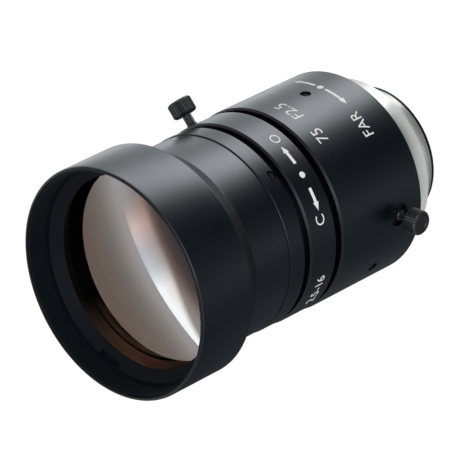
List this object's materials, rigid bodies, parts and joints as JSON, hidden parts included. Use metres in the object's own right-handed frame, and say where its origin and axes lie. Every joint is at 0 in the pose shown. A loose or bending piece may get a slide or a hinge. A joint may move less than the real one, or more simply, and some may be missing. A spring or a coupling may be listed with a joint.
{
  "type": "c-mount machine vision lens",
  "caption": "Manual machine vision lens with a threaded C-mount, focus and iris rings with lock screws, an iris diaphragm, and a flared front hood.",
  "frame": {"origin": "centre of the mount's flange face, where the lens seats on a camera", "axes": "+Z along the optical axis towards the front glass; the mount thread points along -Z; the iris ring's index dot faces -Y"},
  "size_m": [0.0447, 0.042, 0.0688],
  "materials": {
    "black_anodised": "satin black anodised aluminium",
    "matte_black": "matte black anodised aluminium",
    "nickel": "bright nickel plated, turned",
    "brass": "turned brass, greased",
    "black_steel": "black oxide steel",
    "blade_steel": "blued matt steel leaf",
    "coated_glass": "polished glass with anti-reflection coating"
  },
  "bodies": {
    "mount": {"mount_ring": "nickel", "rear_baffle_ring": "matte_black", "fixed_sleeve": "black_anodised", "guide_key": "brass", "guide_key_screws": "black_steel"},
    "focus_grip": {"focus_ring": "black_anodised", "helicoid_nut": "brass", "focus_grub_screws": "black_steel"},
    "focus_lock": {"focus_lock_screw": "black_steel"},
    "barrel": {"main_barrel": "black_anodised", "iris_base_plate": "matte_black", "iris_retaining_ring": "matte_black", "collar_ring": "black_anodised", "collar_set_screws": "black_steel", "front_barrel": "black_anodised", "front_retaining_ring": "matte_black", "front_element": "coated_glass", "front_spacer": "matte_black", "second_element": "coated_glass", "third_element": "coated_glass", "fourth_element": "coated_glass", "doublet_retaining_ring": "matte_black", "rear_cell": "black_anodised", "fifth_element": "coated_glass", "sixth_element": "coated_glass", "inner_retaining_ring": "matte_black", "rear_element": "coated_glass", "rear_retaining_ring": "matte_black"},
    "iris_grip": {"iris_ring": "black_anodised", "iris_cam_ring": "matte_black", "iris_drive_screw": "black_steel"},
    "iris_lock": {"iris_lock_screw": "black_steel"},
    "blade_1": {"iris_blade_1": "blade_steel"},
    "blade_2": {"iris_blade_2": "blade_steel"},
    "blade_3": {"iris_blade_3": "blade_steel"},
    "blade_4": {"iris_blade_4": "blade_steel"},
    "blade_5": {"iris_blade_5": "blade_steel"},
    "blade_6": {"iris_blade_6": "blade_steel"},
    "blade_7": {"iris_blade_7": "blade_steel"},
    "blade_8": {"iris_blade_8": "blade_steel"}
  },
  "joints": [
    {"name": "focus_travel", "type": "slide", "parent": "mount", "child": "barrel", "axis": [0, 0, 1], "range_m": [0, 0.0056]},
    {"name": "focus_turn", "type": "hinge", "parent": "mount", "child": "focus_grip", "pos_m": [0, 0, 0.016], "axis": [0, 0, 1], "range_deg": [0, 200]},
    {"name": "iris_turn", "type": "hinge", "parent": "barrel", "child": "iris_grip", "pos_m": [0, 0, 0.03061], "axis": [0, 0, 1], "range_deg": [-44, 0]},
    {"name": "focus_lock_turn", "type": "hinge", "parent": "focus_grip", "child": "focus_lock", "pos_m": [-0.01306, -0.01338, 0.0117], "axis": [-0.6984, -0.7157, 0], "range_deg": [0, 360]},
    {"name": "iris_lock_turn", "type": "hinge", "parent": "iris_grip", "child": "iris_lock", "pos_m": [0.01849, -0.00048, 0.03041], "axis": [0.9997, -0.0262, 0], "range_deg": [0, 360]},
    {"name": "blade_1_swing", "type": "hinge", "parent": "barrel", "child": "blade_1", "pos_m": [0.00997, 0.00997, 0.029], "axis": [0, 0, 1], "range_deg": [0, 27]},
    {"name": "blade_2_swing", "type": "hinge", "parent": "barrel", "child": "blade_2", "pos_m": [0, 0.0141, 0.029], "axis": [0, 0, 1], "range_deg": [0, 27]},
    {"name": "blade_3_swing", "type": "hinge", "parent": "barrel", "child": "blade_3", "pos_m": [-0.00997, 0.00997, 0.029], "axis": [0, 0, 1], "range_deg": [0, 27]},
    {"name": "blade_4_swing", "type": "hinge", "parent": "barrel", "child": "blade_4", "pos_m": [-0.0141, 0, 0.029], "axis": [0, 0, 1], "range_deg": [0, 27]},
    {"name": "blade_5_swing", "type": "hinge", "parent": "barrel", "child": "blade_5", "pos_m": [-0.00997, -0.00997, 0.029], "axis": [0, 0, 1], "range_deg": [0, 27]},
    {"name": "blade_6_swing", "type": "hinge", "parent": "barrel", "child": "blade_6", "pos_m": [0, -0.0141, 0.029], "axis": [0, 0, 1], "range_deg": [0, 27]},
    {"name": "blade_7_swing", "type": "hinge", "parent": "barrel", "child": "blade_7", "pos_m": [0.00997, -0.00997, 0.029], "axis": [0, 0, 1], "range_deg": [0, 27]},
    {"name": "blade_8_swing", "type": "hinge", "parent": "barrel", "child": "blade_8", "pos_m": [0.0141, 0, 0.029], "axis": [0, 0, 1], "range_deg": [0, 27]}
  ],
  "couplings": [
    {"joint": "focus_turn", "follows": "focus_travel", "rad_per_m": 623.3},
    {"joint": "blade_1_swing", "follows": "iris_turn", "ratio": -0.61364},
    {"joint": "blade_2_swing", "follows": "iris_turn", "ratio": -0.61364},
    {"joint": "blade_3_swing", "follows": "iris_turn", "ratio": -0.61364},
    {"joint": "blade_4_swing", "follows": "iris_turn", "ratio": -0.61364},
    {"joint": "blade_5_swing", "follows": "iris_turn", "ratio": -0.61364},
    {"joint": "blade_6_swing", "follows": "iris_turn", "ratio": -0.61364},
    {"joint": "blade_7_swing", "follows": "iris_turn", "ratio": -0.61364},
    {"joint": "blade_8_swing", "follows": "iris_turn", "ratio": -0.61364}
  ]
}
